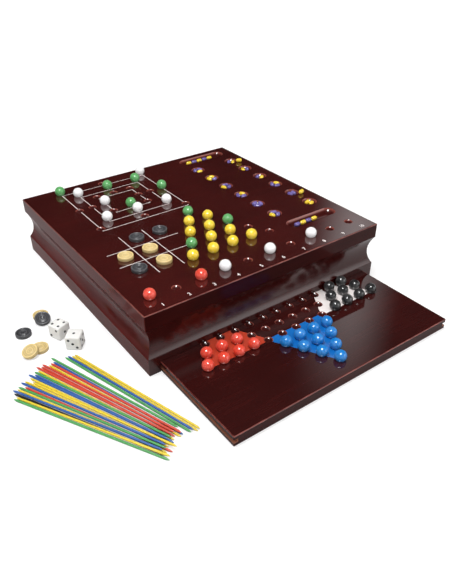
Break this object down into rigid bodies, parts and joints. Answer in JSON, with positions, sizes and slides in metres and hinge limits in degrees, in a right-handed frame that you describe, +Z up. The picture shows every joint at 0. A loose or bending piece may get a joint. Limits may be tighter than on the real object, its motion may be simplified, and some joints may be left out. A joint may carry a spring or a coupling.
{
  "type": "games compendium box",
  "caption": "Low square games box with coved lacquered sides, board games cut into its top, a star board that slides out under its front, and its loose playing pieces set out.",
  "frame": {"origin": "centre of the box's square footprint, on the table it stands on", "axes": "+Z up, +X to the right along the front, +Y to the back; the board slides out along -Y"},
  "size_m": [0.4568, 0.458, 0.0882],
  "materials": {
    "mahogany_lacquer": "high-gloss lacquer over a dark red stain",
    "raw_wood": "unfinished",
    "marble_blue": "opaque, polished",
    "marble_red": "opaque, polished",
    "marble_black": "opaque, polished",
    "marble_green": "opaque, polished",
    "marble_white": "opaque, polished",
    "marble_yellow": "opaque, polished",
    "stone_yellow": "glossy",
    "stone_violet": "glossy",
    "draught_natural": "satin, turned",
    "draught_black": "satin, turned",
    "die_white": "polished, with black pips",
    "stick_yellow": "dyed, satin",
    "stick_blue": "dyed, satin",
    "stick_green": "dyed, satin",
    "stick_red": "dyed, satin",
    "stick_black": "dyed, satin"
  },
  "bodies": {
    "box": {"top_panel": "mahogany_lacquer", "front_moulding": "mahogany_lacquer", "back_moulding": "mahogany_lacquer", "left_moulding": "mahogany_lacquer", "right_moulding": "mahogany_lacquer", "left_runner": "raw_wood", "right_runner": "raw_wood", "corner_blocks": "raw_wood"},
    "board": {"sliding_board": "mahogany_lacquer"},
    "star_marbles": {"star_marbles_blue": "marble_blue", "star_marbles_red": "marble_red", "star_marbles_black": "marble_black"},
    "morris_marbles": {"morris_marbles_green": "marble_green", "morris_marbles_white": "marble_white"},
    "solitaire_marbles": {"solitaire_marbles_yellow": "marble_yellow", "solitaire_marbles_green": "marble_green"},
    "row_marbles": {"row_marbles_red": "marble_red", "row_marbles_white": "marble_white"},
    "mancala_stones": {"mancala_stones_yellow": "stone_yellow", "mancala_stones_violet": "stone_violet"},
    "deck_draughts": {"deck_draughts_natural": "draught_natural", "deck_draughts_black": "draught_black"},
    "loose_draughts": {"loose_draughts_natural": "draught_natural", "loose_draughts_black": "draught_black"},
    "die_one": {"die_one": "die_white"},
    "die_two": {"die_two": "die_white"},
    "pick_up_sticks": {"sticks_yellow": "stick_yellow", "sticks_blue": "stick_blue", "sticks_green": "stick_green", "sticks_red": "stick_red", "stick_black": "stick_black"}
  },
  "joints": [
    {"name": "board_slide", "type": "slide", "parent": "box", "child": "board", "axis": [0, -1, 0], "range_m": [0, 0.188]},
    {"name": "star_marbles_lift", "type": "slide", "parent": "board", "child": "star_marbles", "axis": [0, 0, 1], "range_m": [0, 0.08]},
    {"name": "morris_marbles_lift", "type": "slide", "parent": "box", "child": "morris_marbles", "axis": [0, 0, 1], "range_m": [0, 0.03]},
    {"name": "solitaire_marbles_lift", "type": "slide", "parent": "box", "child": "solitaire_marbles", "axis": [0, 0, 1], "range_m": [0, 0.03]},
    {"name": "row_marbles_lift", "type": "slide", "parent": "box", "child": "row_marbles", "axis": [0, 0, 1], "range_m": [0, 0.03]},
    {"name": "mancala_stones_lift", "type": "slide", "parent": "box", "child": "mancala_stones", "axis": [0, 0, 1], "range_m": [0, 0.03]},
    {"name": "deck_draughts_lift", "type": "slide", "parent": "box", "child": "deck_draughts", "axis": [0, 0, 1], "range_m": [0, 0.03]},
    {"name": "loose_draughts_lift", "type": "slide", "parent": "box", "child": "loose_draughts", "axis": [0, 0, 1], "range_m": [0, 0.03]},
    {"name": "die_one_lift", "type": "slide", "parent": "box", "child": "die_one", "axis": [0, 0, 1], "range_m": [0, 0.03]},
    {"name": "die_two_lift", "type": "slide", "parent": "box", "child": "die_two", "axis": [0, 0, 1], "range_m": [0, 0.03]},
    {"name": "pick_up_sticks_lift", "type": "slide", "parent": "box", "child": "pick_up_sticks", "axis": [0, 0, 1], "range_m": [0, 0.03]}
  ]
}
